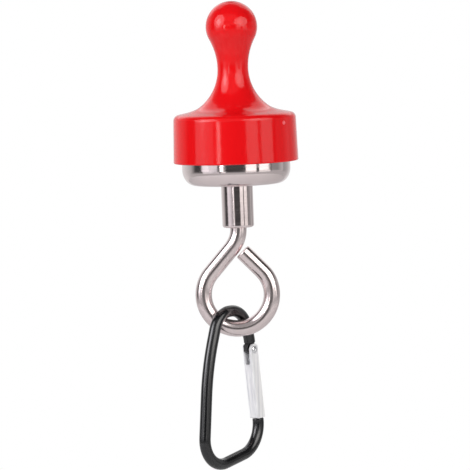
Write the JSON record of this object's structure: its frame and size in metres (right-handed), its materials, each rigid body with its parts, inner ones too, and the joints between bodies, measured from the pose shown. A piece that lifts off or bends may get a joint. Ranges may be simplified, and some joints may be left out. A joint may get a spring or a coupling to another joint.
{
  "type": "magnetic hook",
  "caption": "Magnetic hook: pawn-shaped grip magnet over a nickel pot magnet with a screwed-in wire eye, and a spring-gate carabiner hanging in the eye.",
  "frame": {"origin": "centre of the pot magnet's pole face, where it clings to steel", "axes": "+Z out of the pole face, through the grip; the eye hangs along -Z and lies in the XZ plane, seen from -Y"},
  "size_m": [0.0368, 0.0368, 0.1384],
  "materials": {
    "red_plastic": "glossy injection-moulded shell in opaque red",
    "nickel_plate": "bright nickel plating on drawn, turned and bent steel",
    "magnet_nickel": "plated sintered magnet, slightly dull",
    "potting_resin": "cast black potting resin",
    "black_anodised": "black anodised bent rod, semi-gloss",
    "bright_aluminium": "satin aluminium with fine lengthwise drawing lines",
    "spring_steel": "bright drawn spring wire"
  },
  "bodies": {
    "pot": {"pot_cup": "nickel_plate", "pot_magnet": "magnet_nickel", "pot_resin_ring": "potting_resin", "threaded_bush": "nickel_plate"},
    "grip": {"grip_shell": "red_plastic", "grip_magnet_cup": "nickel_plate", "grip_magnet": "magnet_nickel"},
    "eye": {"eye_hook": "nickel_plate"},
    "carabiner": {"carabiner_frame": "black_anodised"},
    "gate": {"carabiner_gate": "bright_aluminium", "gate_rivet": "bright_aluminium", "gate_spring": "spring_steel"},
    "pusher": {"spring_pusher": "spring_steel"}
  },
  "joints": [
    {"name": "grip_lift", "type": "slide", "parent": "pot", "child": "grip", "axis": [0, 0, 1], "range_m": [0, 0.06]},
    {"name": "eye_turn", "type": "hinge", "parent": "pot", "child": "eye", "pos_m": [0, 0, -0.02], "axis": [0, 0, 1], "range_deg": [-180, 180]},
    {"name": "carabiner_swing", "type": "hinge", "parent": "eye", "child": "carabiner", "pos_m": [-0.003, -0.00135, -0.0495], "axis": [0.9511, 0, -0.309], "range_deg": [-20, 45]},
    {"name": "gate_open", "type": "hinge", "parent": "carabiner", "child": "gate", "pos_m": [0.00231, 0.00592, -0.05795], "axis": [-0.766, 0.6428, 0], "range_deg": [0, 30], "stiffness_Nm_per_rad": 0.002, "springref_deg": -17.19},
    {"name": "pusher_slide", "type": "slide", "parent": "gate", "child": "pusher", "axis": [0.0717, 0.0854, -0.9938], "range_m": [0, 0.0005], "deforming": ["gate_spring"]}
  ],
  "couplings": [
    {"joint": "pusher_slide", "follows": "gate_open", "m_per_rad": 0.00095}
  ]
}
